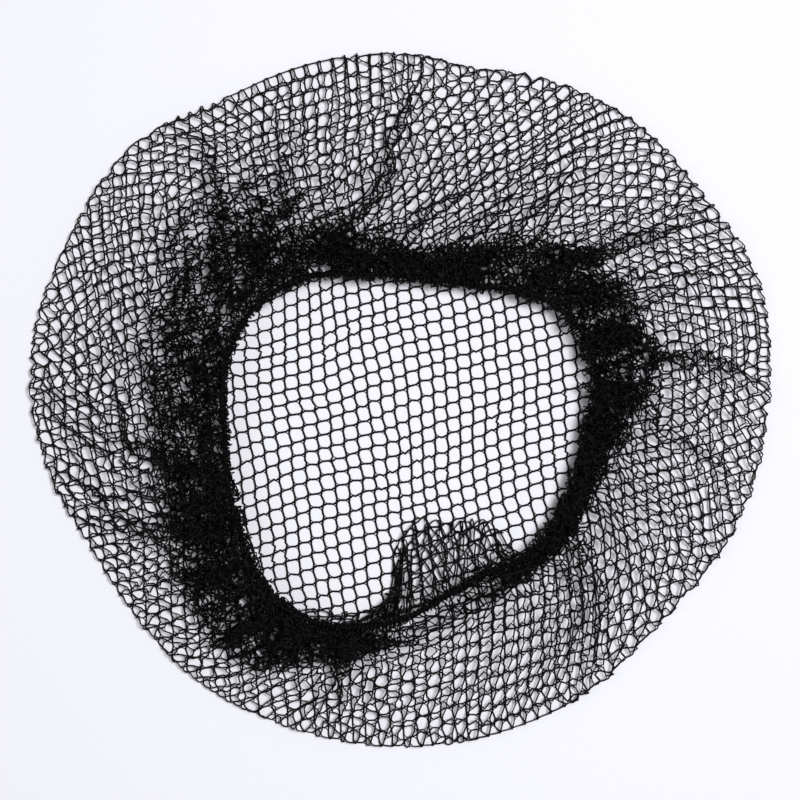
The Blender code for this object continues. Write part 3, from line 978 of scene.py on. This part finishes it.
# %% Braided polyester cover
cover, cover_shader = new_material("braided_polyester_cover")
cover_uv = add_node(cover, "ShaderNodeUVMap", {"uv_map": "along_thread"})
cover_place = add_node(
    cover,
    "ShaderNodeMapping",
    inputs={"Scale": (1.0, 6.0, 1.0)},
    links={"Vector": cover_uv.outputs["UV"]},
)
braid = add_node(
    cover,
    "ShaderNodeTexChecker",
    inputs={"Scale": 1.0},
    links={"Vector": cover_place.outputs["Vector"]},
)
fluff = add_node(
    cover,
    "ShaderNodeTexNoise",
    inputs={"Scale": 1400.0, "Detail": 2.0},
    links={"Vector": add_node(cover, "ShaderNodeTexCoord").outputs["Object"]},
)
cover_colour = ramp(cover, fluff.outputs["Fac"], [(0.35, "#020202"), (0.75, "#08080a")])
cover_bump = add_node(
    cover,
    "ShaderNodeBump",
    inputs={"Strength": 0.6, "Distance": 0.12 * MM},
    links={"Height": braid.outputs["Fac"]},
)
cover.node_tree.links.new(cover_colour.outputs["Color"], cover_shader.inputs["Base Color"])
cover.node_tree.links.new(cover_bump.outputs["Normal"], cover_shader.inputs["Normal"])
cover_shader.inputs["Roughness"].default_value = 0.85
cover_shader.inputs["IOR"].default_value = 1.50
cover_shader.inputs["Specular IOR Level"].default_value = 0.06
print(cover.name, "has", len(cover.node_tree.nodes), "nodes")

# %% [markdown]
# ## Joining the pieces to the frame
# Every piece rides on the part's one body, and the CAD node that it replaces is hidden. The round
# crown is stated as the square of the same area, and a ring of net as the strip that it would be if
# it were slit open: its mean way round, by its width.

# %% Ride and replace
for name, piece in net_pieces.items():
    piece.data.materials.append(yarn)
    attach(piece, "root")
    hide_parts("net")
for piece, finish, node, slot in (
    (elastic, cover, "elastic_cord", "elastic"),
    (binding, yarn, "net", "net_nylon"),
):
    piece.data.materials.append(finish)
    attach(piece, "root")
    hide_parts(node)

# %% [markdown]
# ## Table, light and camera
#
# The photograph is a plain catalogue picture: a white table, soft light from above and a camera
# that looks straight down. The table is a little lilac and is lit to nearly white.

# %% Table
bpy.ops.object.select_all(action="DESELECT")
bpy.ops.mesh.primitive_plane_add(size=6.0, location=(0, 0, 0))
table = bpy.context.object
table.name = "table"
paper, paper_shader = new_material("matt_white_board")
grain = add_node(
    paper,
    "ShaderNodeTexNoise",
    inputs={"Scale": 900.0, "Detail": 2.0},
    links={"Vector": add_node(paper, "ShaderNodeTexCoord").outputs["Object"]},
)
paper_colour = ramp(paper, grain.outputs["Fac"], [(0.3, "#f0f0f8"), (0.7, "#f3f3fb")])
paper.node_tree.links.new(paper_colour.outputs["Color"], paper_shader.inputs["Base Color"])
paper_shader.inputs["Roughness"].default_value = 0.9
table.data.materials.append(paper)
print("table is", round(table.dimensions.x, 1), "m wide")

# %% [markdown]
# A weak white world fills the shadows, so that black yarn still parts from black yarn. One box
# above makes the soft shadows under the brim, and a larger, weaker one at the left opens them. The
# camera has a long lens and is high up, because the photo shows hardly any perspective.

# %% Light and camera
world = bpy.data.worlds.new("soft_room")
bpy.context.scene.world = world
world.use_nodes = True
world.node_tree.nodes["Background"].inputs["Color"].default_value = (1.0, 1.0, 1.0, 1.0)
world.node_tree.nodes["Background"].inputs["Strength"].default_value = 0.19


def soft_light(name, size, power, place):
    """A square light that faces the middle of the table."""
    data = bpy.data.lights.new(name, "AREA")
    data.shape = "SQUARE"
    data.size = size
    data.energy = power
    made = bpy.data.objects.new(name, data)
    bpy.context.scene.collection.objects.link(made)
    made.location = place
    direction = -made.location
    made.rotation_euler = direction.to_track_quat("-Z", "Y").to_euler()
    return made


soft_light("soft_box_above", 0.36, 18.6, (0.32, 0.15, 1.44))
soft_light("soft_box_left", 1.2, 3.0, (-0.9, -0.2, 1.3))
LENS = 100.0
FRAME_WIDTH = 0.32
MIDDLE_HEIGHT = 0.003
camera_data = bpy.data.cameras.new("camera")
camera_data.lens = LENS
camera = bpy.data.objects.new("camera", camera_data)
bpy.context.scene.collection.objects.link(camera)
camera.location = (0, 0, FRAME_WIDTH * LENS / camera_data.sensor_width + MIDDLE_HEIGHT)
bpy.context.scene.camera = camera
bpy.context.scene.view_settings.view_transform = "Standard"
print("camera is", round(camera.location.z, 3), "m above the table")
